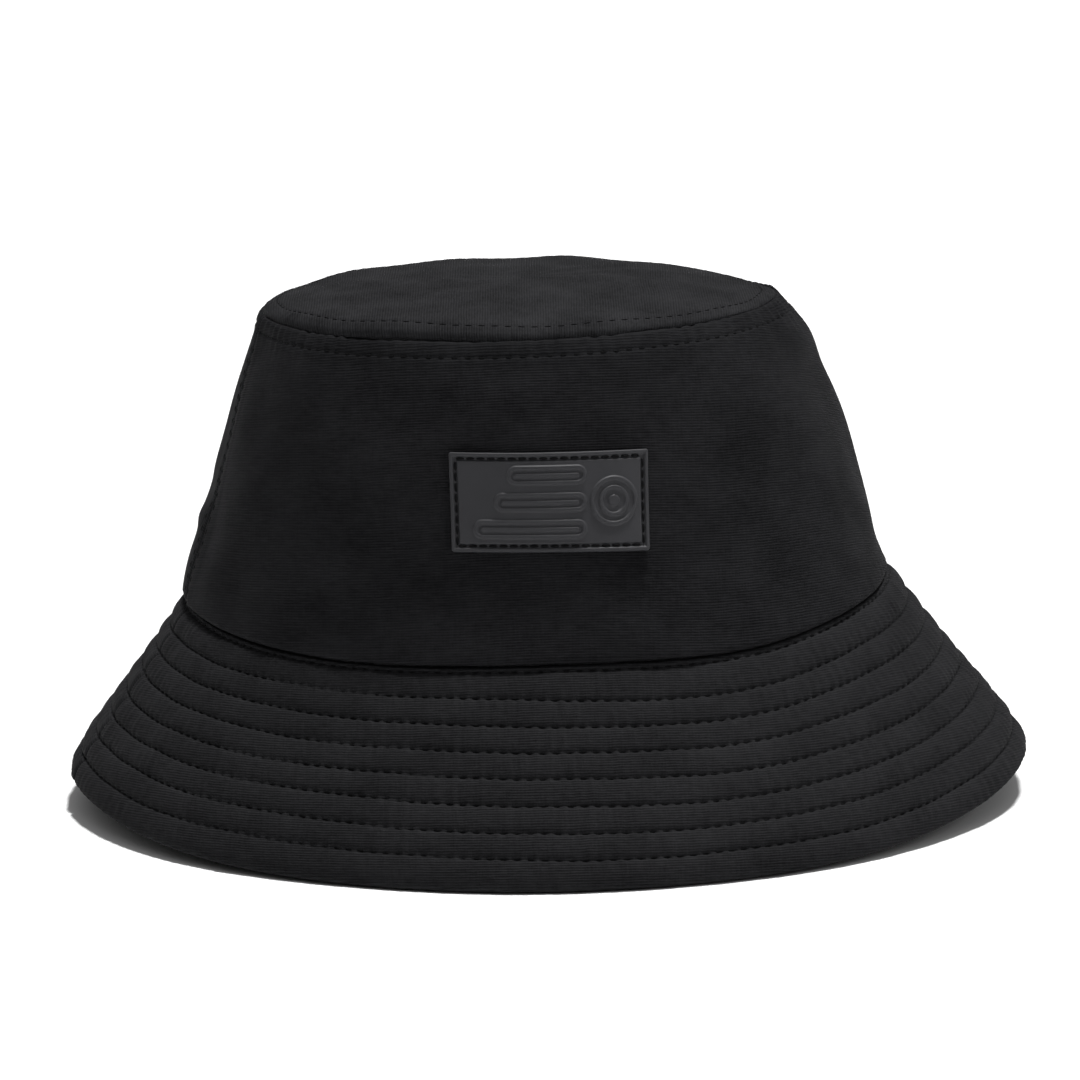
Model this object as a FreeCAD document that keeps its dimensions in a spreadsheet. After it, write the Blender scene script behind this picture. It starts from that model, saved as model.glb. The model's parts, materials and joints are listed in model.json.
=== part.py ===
import FreeCAD, Part
import math
import os

import Sketcher

# Bucket hat. Millimetres, +Z up, the patch faces -Y. The origin is on the surface that the brim
# stands on, under the middle of the brim. An azimuth is counted from the front (-Y) towards +X.

Vector = FreeCAD.Vector

DRIVING_DIMENSIONS = (
    ("crown_seam_radius", 94.5, "outer radius of the seam between crown and brim"),
    ("crown_seam_height", 52.95, "mean height of that seam above the surface"),
    ("crown_seam_sway", -2.2, "how far front and back of that seam dip, and the sides rise"),
    ("crown_seam_ripple", 0.75, "fourfold part of the same curve"),
    ("crown_seam_shift", -2.0, "sideways shift of that seam"),
    ("tip_radius", 68.6, "radius of the seam round the crown tip"),
    ("tip_height", 131.75, "mean height of the tip seam"),
    ("tip_shift", -5.0, "sideways shift of the tip: the soft crown leans a little"),
    ("crown_roll_deg", 1.1, "roll of the crown about the front-to-back axis"),
    ("tip_dome", 3.0, "rise of the tip at its middle"),
    ("wall_bow", 4.2, "factor of the outward bow of the crown wall"),
    ("edge_radius", 125.6, "radius of the brim edge"),
    ("edge_height", 3.12, "mean height of the brim edge"),
    ("edge_sway", -3.95, "how far front and back of the edge dip, and the sides rise"),
    ("edge_ripple", 1.1, "fourfold part of the same curve"),
    ("brim_bow", 3.4, "factor of the outward bow of the brim"),
    ("shell_thick", 0.8, "crown fabric with its fused backing"),
    ("ply_thick", 0.6, "one fabric layer of the brim"),
    ("interlining_thick", 0.8, "stiff layer inside the brim"),
    ("ply_gap", 0.1, "clearance between neighbouring layers"),
    ("tape_thick", 0.5, "seam tape"),
    ("tape_width", 10.0, "seam tape"),
    ("thread_thick", 0.4, "sewing thread, laid flat"),
    ("topstitch_inset", 4.0, "topstitching beside the tip seam"),
    ("side_stitch_inset", 2.2, "topstitching beside a side seam"),
    ("left_seam_deg", 80.0, "left side seam, in degrees from the front"),
    ("right_seam_deg", 100.0, "right side seam, in degrees from the front"),
    ("seam_gap", 0.3, "clearance along a seam"),
    ("brim_width", 60.2, "crown seam to brim edge, along the brim"),
    ("first_row", 9.7, "crown seam to first quilting row, along the brim"),
    ("row_pitch", 7.15, "quilting rows, along the brim"),
    ("edge_stitch_inset", 2.0, "topstitching below the crown seam"),
    ("interlining_inset", 2.5, "edge of the interlining inside the brim's edges"),
    ("wall_width", 82.5, "crown seam to tip seam, along the wall"),
    ("sweatband_width", 28.0, "sweatband, along the wall"),
    ("sweatband_thick", 0.9, "sweatband"),
    ("sweatband_inset", 2.4, "outer wall surface to sweatband"),
    ("patch_width", 51.5, "rubber patch"),
    ("patch_tall", 25.4, "rubber patch"),
    ("patch_thick", 1.5, "rubber patch"),
    ("patch_foot", 28.8, "crown seam to patch, along the wall"),
    ("patch_turn_deg", 3.5, "middle of the patch, in degrees from the front"),
    ("patch_stitch_inset", 2.0, "stitching inside the patch's outline"),
    ("label_long", 30.0, "care label, from its sewn edge"),
    ("label_tall", 12.0, "care label"),
    ("label_thick", 0.4, "care label"),
    ("label_foot", 32.0, "crown seam to care label, along the wall"),
)

QUILTING_ROWS = 7
WALL_KNOTS = (0, 0.24, 0.48, 0.72, 0.86, 0.94, 1)     # ways up the wall where its profile bends
BRIM_KNOTS = (0, 0.35, 0.62, 0.82, 0.94, 1)           # ways down the brim where its profile bends
RING_POINTS = 32           # points round a full ring, enough for its fourfold wave
PANEL_POINTS = 17          # points along a half panel

# Small fixed distances in mm, and ways along a cloth as shares of its width
THREAD_LIFT = 0.05         # clearance under a thread that lies on cloth
TIP_THREAD_INSET = 2       # tip seam to its hidden thread
TAPE_INSET = 0.6           # tip seam tape inside the shell
TAPE_LEG_SHARE = 0.6       # each leg of the folded tape
TAPE_LEAN = 0.3            # how far the leg on the wall leans out with it
TAPE_NIP = 0.2             # drop of the tape at its fold
TAPE_SPAN = (0.02, 0.86)   # side seam tape, up the wall
SIDE_ROWS_START = 0.01     # side seam stitching, up the wall
SEAM_THREAD_LEVEL = 1.5    # crown seam to its thread, up the wall
SEAM_THREAD_DEPTH = 0.2    # that thread outside the sweatband's outer face
EDGE_THREAD_INSET = 1.0    # brim edge to the hidden thread that closes it
EDGE_THREAD_HALF = 0.25
BAND_FOOT = 1.0            # crown seam to the sweatband's lower edge
JOIN_INSET = 1.6           # sweatband join to each row of its stitching
JOIN_END = 0.02            # that stitching inside the band's edges
LABEL_CLEARANCE = 1.3      # seam tape to care label
LABEL_LEAN = 1.2           # how much further in the label's free end lies
TAPE_CLEARED = 1.5         # half tape widths from the side seam to the label

doc = FreeCAD.newDocument("bucket_hat")
sheet = doc.addObject("Spreadsheet::Sheet", "dimensions")
for line, (alias, value, meaning) in enumerate(DRIVING_DIMENSIONS, start=1):
    sheet.set(f"A{line}", meaning)
    sheet.set(f"B{line}", str(value))
    sheet.setAlias(f"B{line}", alias)
doc.recompute()
size = {alias: float(sheet.get(alias)) for alias, _, _ in DRIVING_DIMENSIONS}
roll = math.radians(size["crown_roll_deg"])


# ---- the two cloth surfaces, as functions of azimuth and of the way along the cloth ----

def ring_point(radius, height, sway, ripple, shift, slope, azimuth):
    """A point on a seam: a circle that sways up at the sides and leans."""
    x = radius * math.sin(azimuth)
    z = height + sway * math.cos(2 * azimuth) + ripple * math.cos(4 * azimuth) + slope * x
    return Vector(x + shift, -radius * math.cos(azimuth), z)


def crown_seam(azimuth):
    return ring_point(size["crown_seam_radius"], size["crown_seam_height"],
                      size["crown_seam_sway"], size["crown_seam_ripple"],
                      size["crown_seam_shift"], math.tan(roll), azimuth)


def tip_seam(azimuth):
    return ring_point(size["tip_radius"], size["tip_height"], 0, 0,
                      size["tip_shift"], math.tan(roll), azimuth)


def brim_edge(azimuth):
    return ring_point(size["edge_radius"], size["edge_height"], size["edge_sway"],
                      size["edge_ripple"], 0, 0, azimuth)


def outward(azimuth):
    return Vector(math.sin(azimuth), -math.cos(azimuth), 0)


def wall_bulge(along):
    return size["wall_bow"] * along ** 1.3 * (1 - along ** 6)


def brim_bulge(along):
    return size["brim_bow"] * along ** 2 * (1 - along ** 8)


def between_knots(bulge, knots, along):
    """The bulge, straight from knot to knot, and carried on past both ends."""
    index = max(i for i, knot in enumerate(knots[:-1]) if i == 0 or along > knot)
    low, high = knots[index], knots[index + 1]
    return bulge(low) + (bulge(high) - bulge(low)) * (along - low) / (high - low)


def wall(azimuth, along):
    """The crown wall: along runs from 0 at the crown seam to 1 at the tip seam."""
    straight = crown_seam(azimuth) * (1 - along) + tip_seam(azimuth) * along
    return straight + outward(azimuth) * between_knots(wall_bulge, WALL_KNOTS, along)


def brim(azimuth, along):
    """The brim: along runs from 0 at the crown seam to 1 at the edge."""
    straight = crown_seam(azimuth) * (1 - along) + brim_edge(azimuth) * along
    return straight + outward(azimuth) * between_knots(brim_bulge, BRIM_KNOTS, along)


def stations_on(knots, low, high):
    """From low to high, with each knot of the profile that lies between them."""
    margin = 0.01
    return [low] + [knot for knot in knots if low + margin < knot < high - margin] + [high]


def offset(surface, azimuth, along, distance):
    """The point at a distance off the surface, positive on the outside of the hat."""
    step = 0.005
    across = surface(azimuth + step, along) - surface(azimuth - step, along)
    up = surface(azimuth, along + step) - surface(azimuth, along - step)
    normal = across.cross(up)
    if normal.dot(outward(azimuth)) < 0:
        normal = normal * -1
    normal.normalize()
    return surface(azimuth, along) + normal * distance


# ---- solids between stations of such a surface ----

def spline_edge(points, closed):
    """An edge through the points; edges of one solid share their knots."""
    spline = Part.BSplineCurve()
    count = len(points) + (1 if closed else 0)
    spline.interpolate(Points=points, PeriodicFlag=closed,
                       Parameters=[float(index) for index in range(count)])
    return spline.toShape()


def cloth_solid(surface, stations, near, far, start=None, end=None, points=PANEL_POINTS):
    """A layer from near to far off the surface, through the stations along the cloth.

    Without start and end it is a closed ring; with them it is the sector between two azimuths.
    """
    closed = start is None
    count = RING_POINTS if closed else points
    if closed:
        azimuths = [2 * math.pi * index / count for index in range(count)]
    else:
        azimuths = [start + (end - start) * index / (count - 1) for index in range(count)]

    def rail(along, distance):
        return spline_edge([offset(surface, turn, along, distance) for turn in azimuths], closed)

    faces = [Part.makeRuledSurface(rail(stations[0], near), rail(stations[0], far)),
             Part.makeRuledSurface(rail(stations[-1], near), rail(stations[-1], far))]
    for low, high in zip(stations, stations[1:]):
        for distance in (near, far):
            faces.append(Part.makeRuledSurface(rail(low, distance), rail(high, distance)))
        if not closed:
            for turn in (start, end):
                side_low = Part.makeLine(offset(surface, turn, low, near),
                                         offset(surface, turn, low, far))
                side_high = Part.makeLine(offset(surface, turn, high, near),
                                          offset(surface, turn, high, far))
                faces.append(Part.makeRuledSurface(side_low, side_high))
    shell = Part.makeCompound(faces)
    shell.sewShape()
    solid = Part.makeSolid(shell.Shells[0])
    if solid.Volume < 0:
        solid.reverse()
    return solid


sub_parts = []


def add_piece(label, solids):
    """One node: a document object with its own shape, label and placement."""
    piece = doc.addObject("Part::Feature", label)
    piece.Shape = solids[0] if len(solids) == 1 else Part.makeCompound(solids)
    piece.Label = label
    piece.Placement = FreeCAD.Placement()
    sub_parts.append(piece)
    return piece


left_seam = -math.radians(size["left_seam_deg"])
right_seam = math.radians(size["right_seam_deg"])


def seam_clearance(radius):
    """Half the gap of a side seam, as an angle at that radius."""
    return size["seam_gap"] / 2 / radius


HALVES = (("front", left_seam, right_seam),
          ("back", right_seam, 2 * math.pi + left_seam))


# ---- crown ----

def make_crown_panels():
    clear = seam_clearance(size["crown_seam_radius"])
    gap = size["seam_gap"] / size["wall_width"]
    top = 1 - (size["shell_thick"] + 2 * size["seam_gap"]) / size["wall_width"]
    stations = stations_on(WALL_KNOTS, gap, top)
    for half, start, end in HALVES:
        add_piece(f"crown_{half}_panel",
                  [cloth_solid(wall, stations, -size["shell_thick"], 0, start + clear, end - clear)])


def tip_sketch(body, name):
    """A sketch on the body's own vertical plane, drawn with the axis of the tip upright."""
    sketch = body.newObject("Sketcher::SketchObject", name)
    plane = next(item for item in body.Origin.OriginFeatures if item.Role == "XZ_Plane")
    sketch.AttachmentSupport = [(plane, "")]
    sketch.MapMode = "FlatFace"
    return sketch


def place_on_tip(piece):
    """Puts a piece drawn about the tip's axis onto the shifted and rolled tip seam."""
    turn = FreeCAD.Rotation(Vector(0, 1, 0), -size["crown_roll_deg"])
    piece.Placement = FreeCAD.Placement(Vector(size["tip_shift"], 0, size["tip_height"]), turn)


def revolve_about_axis(body, sketch, name):
    turn = body.newObject("PartDesign::Revolution", name)
    turn.Profile = sketch
    turn.ReferenceAxis = (sketch, ["V_Axis"])
    turn.Angle = 360
    body.Tip = turn
    return turn


def make_crown_tip():
    """The tip: a shallow dome, cut from one round piece of cloth."""
    body = doc.addObject("PartDesign::Body", "crown_tip")
    body.Label = "crown_tip"
    sketch = tip_sketch(body, "tip_profile")
    rim = size["tip_radius"] - size["seam_gap"]
    rise = size["tip_dome"]
    thick = size["shell_thick"]
    top = Part.Arc(Vector(0, rise, 0), Vector(rim / 2, rise * 0.75, 0), Vector(rim, 0, 0))
    under = Part.Arc(Vector(0, rise - thick, 0), Vector(rim / 2, rise * 0.75 - thick, 0),
                     Vector(rim, -thick, 0))
    sketch.addGeometry(top)
    sketch.addGeometry(Part.LineSegment(Vector(rim, 0, 0), Vector(rim, -thick, 0)))
    sketch.addGeometry(under)
    sketch.addGeometry(Part.LineSegment(Vector(0, rise - thick, 0), Vector(0, rise, 0)))
    ends = {index: {} for index in (0, 2)}
    for index in ends:
        for vertex in (1, 2):
            middle = abs(sketch.getPoint(index, vertex).x) < rim / 2
            ends[index]["middle" if middle else "rim"] = vertex
    sketch.addConstraint([
        Sketcher.Constraint("Coincident", 0, ends[0]["rim"], 1, 1),
        Sketcher.Constraint("Coincident", 1, 2, 2, ends[2]["rim"]),
        Sketcher.Constraint("Coincident", 2, ends[2]["middle"], 3, 1),
        Sketcher.Constraint("Coincident", 3, 2, 0, ends[0]["middle"]),
        Sketcher.Constraint("PointOnObject", 3, 1, -2),
        Sketcher.Constraint("Vertical", 3),
        Sketcher.Constraint("Vertical", 1),
        Sketcher.Constraint("PointOnObject", 1, 1, -1),
        Sketcher.Constraint("PointOnObject", 0, 3, -2),
        Sketcher.Constraint("PointOnObject", 2, 3, -2)])
    for name, constraint, formula in (
            ("rim_reach", ("DistanceX", -1, 1, 1, 1, rim), "tip_radius - dimensions.seam_gap"),
            ("dome_rise", ("DistanceY", -1, 1, 3, 2, rise), "tip_dome"),
            ("rim_depth", ("DistanceY", 1, 2, 1, 1, thick), "shell_thick"),
            ("crest_depth", ("DistanceY", 3, 1, 3, 2, thick), "shell_thick")):
        index = sketch.addConstraint(Sketcher.Constraint(*constraint))
        sketch.renameConstraint(index, name)
        sketch.setExpression(f"Constraints.{name}", f"dimensions.{formula}")
    revolve_about_axis(body, sketch, "tip_revolution")
    place_on_tip(body)
    sub_parts.append(body)


def make_tip_seam_tape():
    """The tape inside the tip seam: an angle ring, one leg under the tip, one down the wall."""
    body = doc.addObject("PartDesign::Body", "tip_seam_tape")
    body.Label = "tip_seam_tape"
    sketch = tip_sketch(body, "tape_profile")
    clear = size["shell_thick"] + size["seam_gap"]
    outer = size["tip_radius"] - clear - TAPE_INSET
    leg = size["tape_width"] * TAPE_LEG_SHARE
    thick = size["tape_thick"]
    spread = TAPE_LEAN * leg
    ring = ((outer - leg, -clear), (outer, -clear - TAPE_NIP), (outer + spread, -clear - leg),
            (outer + spread - thick, -clear - leg), (outer - thick, -clear - thick - TAPE_NIP),
            (outer - leg, -clear - thick))
    corners = [Vector(x, y, 0) for x, y in ring]
    for near, far in zip(corners, corners[1:] + corners[:1]):
        sketch.addGeometry(Part.LineSegment(near, far))
    for index in range(len(corners)):
        following = (index + 1) % len(corners)
        sketch.addConstraint(Sketcher.Constraint("Coincident", index, 2, following, 1))
    index = sketch.addConstraint(Sketcher.Constraint("DistanceX", -1, 1, 1, 1, outer))
    sketch.renameConstraint(index, "outer_reach")
    sketch.setExpression("Constraints.outer_reach", "dimensions.tip_radius - dimensions.shell_thick"
                         f" - dimensions.seam_gap - {TAPE_INSET}")
    revolve_about_axis(body, sketch, "tape_revolution")
    place_on_tip(body)
    sub_parts.append(body)


def make_tip_threads():
    """The row of topstitching on the tip, and the hidden thread of the tip seam."""
    inset = size["topstitch_inset"]
    radius = size["tip_radius"] - inset
    lift = size["tip_dome"] * (1 - (radius / size["tip_radius"]) ** 2)
    for label, ring, rise in (("tip_topstitching", "tip_radius - dimensions.topstitch_inset",
                               lift + size["thread_thick"] * 0.75),
                              ("tip_seam_thread", f"tip_radius - {TIP_THREAD_INSET}",
                               -size["shell_thick"] - size["thread_thick"] * 0.25)):
        thread = doc.addObject("Part::Torus", label)
        thread.Label = label
        thread.setExpression("Radius1", f"dimensions.{ring}")
        thread.setExpression("Radius2", "dimensions.thread_thick / 2")
        turn = FreeCAD.Rotation(Vector(0, 1, 0), -size["crown_roll_deg"])
        centre = Vector(size["tip_shift"], 0, size["tip_height"]) + turn.multVec(Vector(0, 0, rise))
        thread.Placement = FreeCAD.Placement(centre, turn)
        sub_parts.append(thread)


def make_side_seam_tapes():
    half_angle = size["tape_width"] / 2 / size["crown_seam_radius"]
    near = -size["shell_thick"] - size["ply_gap"] - size["tape_thick"]
    stations = stations_on(WALL_KNOTS, *TAPE_SPAN)
    for side, centre in (("left", left_seam), ("right", right_seam)):
        add_piece(f"side_seam_tape_{side}",
                  [cloth_solid(wall, stations, near, near + size["tape_thick"],
                               centre - half_angle, centre + half_angle, 3)])


def make_wall_threads():
    """Topstitching on the wall: one ring below the tip seam, two rows along each side seam."""
    thick = size["thread_thick"]
    low = 1 - size["topstitch_inset"] / size["wall_width"]
    half = thick / 2 / size["wall_width"]
    far = THREAD_LIFT + thick
    add_piece("wall_topstitching", [cloth_solid(wall, [low - half, low + half], THREAD_LIFT, far)])
    rows = []
    stations = stations_on(WALL_KNOTS, SIDE_ROWS_START, low - 4 * half)
    for centre in (left_seam, right_seam):
        for side in (-1, 1):
            inset = side * size["side_stitch_inset"] / size["crown_seam_radius"]
            width = thick / 2 / size["crown_seam_radius"]
            rows.append(cloth_solid(wall, stations, THREAD_LIFT, far,
                                    centre + inset - width, centre + inset + width, 3))
    add_piece("side_seam_stitching", rows)
    seam_near = -size["sweatband_inset"] + SEAM_THREAD_DEPTH
    seam_low = SEAM_THREAD_LEVEL / size["wall_width"]
    add_piece("crown_seam_thread", [cloth_solid(wall, [seam_low, seam_low + 2 * half],
                                                seam_near, seam_near + thick)])


# ---- brim ----

def make_brim_layers():
    gap = size["seam_gap"] / size["brim_width"]
    core = size["interlining_thick"] / 2
    ply_near = core + size["ply_gap"]
    ply_far = ply_near + size["ply_thick"]
    edge_inset = size["interlining_inset"] / size["brim_width"]
    clear = seam_clearance(size["crown_seam_radius"])
    whole = stations_on(BRIM_KNOTS, gap, 1)
    short = stations_on(BRIM_KNOTS, gap + edge_inset, 1 - edge_inset)
    for layer, stations, near, far in (("top", whole, ply_near, ply_far),
                                       ("interlining", short, -core, core),
                                       ("under", whole, -ply_far, -ply_near)):
        for half, start, end in HALVES:
            add_piece(f"brim_{layer}_{half}",
                      [cloth_solid(brim, stations, near, far, start + clear, end - clear)])


def stitch_rings(down):
    """Needle thread above the brim and bobbin thread below it, at a way down the brim in mm."""
    thick = size["thread_thick"]
    along = down / size["brim_width"]
    half = thick / 2 / size["brim_width"]
    face = size["interlining_thick"] / 2 + size["ply_gap"] + size["ply_thick"] + size["ply_gap"]
    stations = [along - half, along + half]
    return [cloth_solid(brim, stations, face, face + thick),
            cloth_solid(brim, stations, -face - thick, -face)]


def make_brim_threads():
    for row in range(QUILTING_ROWS):
        add_piece(f"brim_row_{row + 1}", stitch_rings(size["first_row"] + row * size["row_pitch"]))
    add_piece("brim_edge_stitching", stitch_rings(size["edge_stitch_inset"]))
    half = size["thread_thick"] / 2
    along = 1 - EDGE_THREAD_INSET / size["brim_width"]
    reach = EDGE_THREAD_HALF / size["brim_width"]
    add_piece("brim_edge_seam_thread", [cloth_solid(brim, [along - reach, along + reach], -half, half)])


# ---- inside the crown ----

def make_sweatband():
    """A band sewn along its lower edge, its ends meeting at the back."""
    far = -size["sweatband_inset"]
    near = far - size["sweatband_thick"]
    foot = BAND_FOOT / size["wall_width"]
    top = size["sweatband_width"] / size["wall_width"]
    gap = seam_clearance(size["crown_seam_radius"])
    back = math.pi
    add_piece("sweatband", [cloth_solid(wall, stations_on(WALL_KNOTS, foot, top), near, far,
                                        -back + gap, back - gap, RING_POINTS + 1)])
    stitches = []
    stations = stations_on(WALL_KNOTS, foot + JOIN_END, top - JOIN_END)
    half = size["thread_thick"] / 2 / size["crown_seam_radius"]
    for side in (-1, 1):
        centre = back + side * JOIN_INSET / size["crown_seam_radius"]
        stitches.append(cloth_solid(wall, stations, near - THREAD_LIFT - size["thread_thick"],
                                    near - THREAD_LIFT, centre - half, centre + half, 3))
    add_piece("sweatband_join_stitching", stitches)


def make_care_label():
    """A small flap caught in the left side seam above the sweatband, lying along the wall."""
    foot = size["label_foot"] / size["wall_width"]
    inset = size["shell_thick"] + size["tape_thick"] + LABEL_CLEARANCE
    start = left_seam - TAPE_CLEARED * size["tape_width"] / 2 / size["crown_seam_radius"]
    sewn = offset(wall, start, foot, -inset)
    upper = offset(wall, start, foot + size["label_tall"] / size["wall_width"], -inset)
    reach = size["label_long"] / wall(start, foot).Length
    free = offset(wall, start - reach, foot, -inset - LABEL_LEAN)
    hinge = upper - sewn
    hinge.normalize()
    face = hinge.cross(free - sewn)
    face.normalize()
    length_way = face.cross(hinge)
    turn = FreeCAD.Rotation(length_way, face, hinge, "XZY")
    label = doc.addObject("Part::Box", "care_label")
    label.Label = "care_label"
    label.setExpression("Length", "dimensions.label_long")
    label.setExpression("Width", "dimensions.label_thick")
    label.setExpression("Height", "dimensions.label_tall")
    label.Placement = FreeCAD.Placement(sewn, turn)
    sub_parts.append(label)
    print("label hinge at", [round(value / 1000, 5) for value in sewn],
          "axis", [round(value, 5) for value in hinge])


# ---- patch ----

def patch_level(tall):
    """The way along the wall at a height above the patch's lower edge."""
    return (size["patch_foot"] + tall) / size["wall_width"]


def patch_surface(turn, along):
    """The wall, with the turn scaled so that the patch is as wide at its top as at its foot."""
    middle = wall(0, patch_level(size["patch_tall"] / 2)).y
    turned = turn * middle / wall(0, along).y
    return wall(math.radians(size["patch_turn_deg"]) + turned, along)


def patch_frame(inset, width, near, far):
    """Four strips round the patch, centred on a line at a distance inside its outline."""
    middle_radius = -wall(0, patch_level(size["patch_tall"] / 2)).y
    reach = (size["patch_width"] / 2 - inset) / middle_radius
    half_turn = width / 2 / middle_radius
    low = inset
    high = size["patch_tall"] - inset
    strips = []
    for level in (low, high):
        strips.append(cloth_solid(patch_surface,
                                  [patch_level(level - width / 2), patch_level(level + width / 2)],
                                  near, far, -reach - half_turn, reach + half_turn, 7))
    for turn in (-reach, reach):
        strips.append(cloth_solid(patch_surface,
                                  stations_on(WALL_KNOTS, patch_level(low + width / 2),
                                              patch_level(high - width / 2)),
                                  near, far, turn - half_turn, turn + half_turn, 3))
    return strips


def make_patch():
    """The moulded patch follows the curve of the front panel, with its stitches on its face."""
    middle_radius = -wall(0, patch_level(size["patch_tall"] / 2)).y
    reach = size["patch_width"] / 2 / middle_radius
    near = size["ply_gap"]
    face = near + size["patch_thick"]
    stations = stations_on(WALL_KNOTS, patch_level(0), patch_level(size["patch_tall"]))
    add_piece("rubber_patch", [cloth_solid(patch_surface, stations, near, face, -reach, reach, 7)])
    thread_near = face + size["ply_gap"] / 2
    thread = size["thread_thick"]
    add_piece("patch_stitching", patch_frame(size["patch_stitch_inset"], thread,
                                             thread_near, thread_near + thread))


make_crown_panels()
make_crown_tip()
make_tip_seam_tape()
make_tip_threads()
make_side_seam_tapes()
make_wall_threads()
make_brim_layers()
make_brim_threads()
make_sweatband()
make_care_label()
make_patch()
doc.recompute()

for item in doc.Objects:
    faults = [state for state in item.State if state in ("Invalid", "Error")]
    if faults:
        raise RuntimeError(f"{item.Label}: {faults}")
for piece in sub_parts:
    if piece.Shape.isNull() or not piece.Shape.isValid():
        raise RuntimeError(f"{piece.Label}: its shape is not valid")

os.makedirs("parts", exist_ok=True)
whole = Part.makeCompound([piece.Shape for piece in sub_parts])
box = whole.optimalBoundingBox()
print("nodes", len(sub_parts), "box", [round(value, 3) for value in
                                       (box.XMin, box.XMax, box.YMin, box.YMax, box.ZMin, box.ZMax)])
for piece in sub_parts:
    print(piece.Label, "volume", round(piece.Shape.Volume, 1), "solids", len(piece.Shape.Solids))
    piece.Shape.exportStep(f"parts/{piece.Label}.step")
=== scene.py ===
import json
import math

import bpy
import numpy as np
from mathutils import Euler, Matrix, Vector


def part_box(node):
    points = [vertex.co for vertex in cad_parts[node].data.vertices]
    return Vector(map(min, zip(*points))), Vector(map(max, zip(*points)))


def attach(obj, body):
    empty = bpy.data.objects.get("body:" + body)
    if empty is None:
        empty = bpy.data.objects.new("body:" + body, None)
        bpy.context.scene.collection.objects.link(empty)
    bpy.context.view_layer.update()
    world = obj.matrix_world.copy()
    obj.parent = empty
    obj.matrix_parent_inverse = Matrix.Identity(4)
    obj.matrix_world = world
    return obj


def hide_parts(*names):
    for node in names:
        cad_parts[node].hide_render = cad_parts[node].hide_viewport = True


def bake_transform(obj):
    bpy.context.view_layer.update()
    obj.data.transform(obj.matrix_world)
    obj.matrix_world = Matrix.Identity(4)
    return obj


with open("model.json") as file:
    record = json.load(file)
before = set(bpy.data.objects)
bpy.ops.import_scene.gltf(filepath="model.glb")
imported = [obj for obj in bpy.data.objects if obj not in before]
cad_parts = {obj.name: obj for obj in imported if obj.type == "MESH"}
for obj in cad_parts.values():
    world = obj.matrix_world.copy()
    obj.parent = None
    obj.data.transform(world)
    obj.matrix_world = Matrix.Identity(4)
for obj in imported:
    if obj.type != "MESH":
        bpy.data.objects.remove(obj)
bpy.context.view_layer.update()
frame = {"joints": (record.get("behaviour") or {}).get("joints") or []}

# Bucket hat. Lengths in this script are millimetres until a mesh is made, when MM turns them into
# the frame's metres. An azimuth is counted from the front of the hat (-Y) towards +X, and a cloth
# surface is addressed by azimuth and by the way s along the cloth.

MM = 0.001
FULL_TURN = 2 * math.pi

# The driving dimensions of the CAD part
SEAM_RADIUS = 94.5
SEAM_HEIGHT = 52.95
SEAM_SWAY = -2.2
SEAM_RIPPLE = 0.75
SEAM_SHIFT = -2.0
TIP_RADIUS = 68.6
TIP_HEIGHT = 131.75
TIP_SHIFT = -5.0
TIP_DOME = 3.0
ROLL = math.radians(1.1)
EDGE_RADIUS = 125.6
EDGE_HEIGHT = 3.12
EDGE_SWAY = -3.95
EDGE_RIPPLE = 1.1
WALL_WIDTH = 82.5
WALL_BOW = 4.2
BRIM_WIDTH = 60.2
BRIM_BOW = 3.4
BRIM_TUCK = 2.6
LEFT_SEAM = math.radians(-80.0)
RIGHT_SEAM = math.radians(100.0)
WALL_START = 0.8
ROW_LINES = [9.7 + 7.15 * row for row in range(7)]
EDGE_STITCH_LINE = 2.0
TOPSTITCH_INSET = 4.0
SIDE_STITCH_INSET = 2.2
STITCH_PITCH = 3.4
TAPE_WIDTH = 10.0
TIP_TAPE_WIDTH = 12.0
LABEL_LONG = 30.0
LABEL_TALL = 12.0

# Cloth thicknesses and layer faces, measured from the middle of the brim or the face of the wall
SHELL_THICK = 0.55
PLY_THICK = 0.45
PLY_FACE = 1.05
EDGE_LAP = 0.12            # how far the rolled edge laps past the face of the underside
PUFF = 0.7
GROOVE = 0.5


# ---------------------------------------------------------------- surfaces of the hat

def ring(radius, height, sway, ripple, shift, az):
    """The seam curves: a circle that sways up at the sides and leans with the crown."""
    x = radius * np.sin(az)
    slope = math.tan(ROLL) if shift else 0.0
    z = height + sway * np.cos(2 * az) + ripple * np.cos(4 * az) + slope * x
    return np.stack(np.broadcast_arrays(x + shift, -radius * np.cos(az), z), axis=-1)


def crown_seam(az):
    """The seam between crown and brim, which sags a little at the right of the front."""
    points = ring(SEAM_RADIUS, SEAM_HEIGHT, SEAM_SWAY, SEAM_RIPPLE, SEAM_SHIFT, az)
    points[..., 2] -= 1.5 * swell(az, 0.6, 0.33)
    return points


def outward(az):
    return np.stack(np.broadcast_arrays(np.sin(az), -np.cos(az), 0.0 * az), axis=-1)


def soft_bumps(az, s, seed, count, turns, reach):
    """A smooth uneven field: waves of up to the given turns round the hat and waves along s."""
    draw = np.random.default_rng(seed)
    field = 0.0
    for _ in range(count):
        around = draw.integers(turns[0], turns[1] + 1)
        along = draw.uniform(-1, 1) * FULL_TURN / reach
        field = field + np.sin(around * az + along * s + draw.uniform(0, FULL_TURN))
    return field / math.sqrt(count)


def bump_at(az, s, centre, level, wide, tall):
    """A single dent or swelling, wide and tall in mm, at an azimuth and a way along the cloth."""
    turn = (az - centre + math.pi) % FULL_TURN - math.pi
    return np.exp(-(turn * 85 / wide) ** 2 - ((s - level) / tall) ** 2)


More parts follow.
